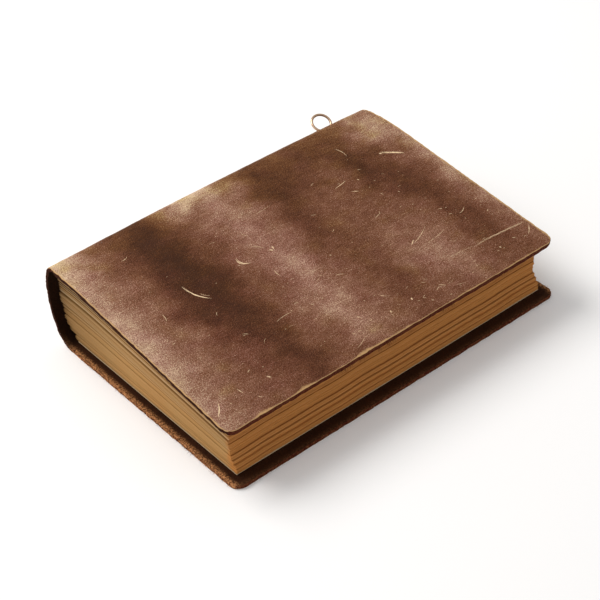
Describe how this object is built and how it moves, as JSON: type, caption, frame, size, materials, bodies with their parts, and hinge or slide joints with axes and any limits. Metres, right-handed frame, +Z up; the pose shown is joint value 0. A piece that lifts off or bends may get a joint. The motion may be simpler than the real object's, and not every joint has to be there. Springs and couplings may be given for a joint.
{
  "type": "leather travel journal",
  "caption": "Thick leather wrap folded round a block of sewn kraft-paper signatures, tapering from a rounded spine to the fore edge, with a small wire ring at the head of the spine",
  "frame": {"origin": "on the table, under the middle of the closed journal's box, ring included", "axes": "+X from the spine to the free edges, +Y along the spine from tail to head, +Z up through the closed covers"},
  "size_m": [0.1544, 0.203, 0.0504],
  "materials": {
    "cover_leather": "oiled pull-up leather, dark brown with lighter tan clouding, raw cut edges",
    "page_paper": "uncoated kraft paper, cut by hand",
    "endpaper": "pale uncoated paper",
    "waxed_thread": "waxed linen thread",
    "ring_wire": "pale polished brass wire"
  },
  "bodies": {
    "book_block": {"spine": "cover_leather", "page_block": "page_paper", "front_endpaper": "endpaper", "back_endpaper": "endpaper", "binding_thread": "waxed_thread", "spine_ring": "ring_wire"},
    "front_flap": {"front_cover": "cover_leather"},
    "back_flap": {"back_cover": "cover_leather"}
  },
  "joints": [
    {"name": "front_cover_hinge", "type": "hinge", "parent": "book_block", "child": "front_flap", "pos_m": [-0.06219, 0, 0.04915], "axis": [0, -1, 0], "range_deg": [0, 170]},
    {"name": "back_cover_hinge", "type": "hinge", "parent": "book_block", "child": "back_flap", "pos_m": [-0.06297, 0, 0.0011], "axis": [0, 1, 0], "range_deg": [0, 179.5]}
  ]
}
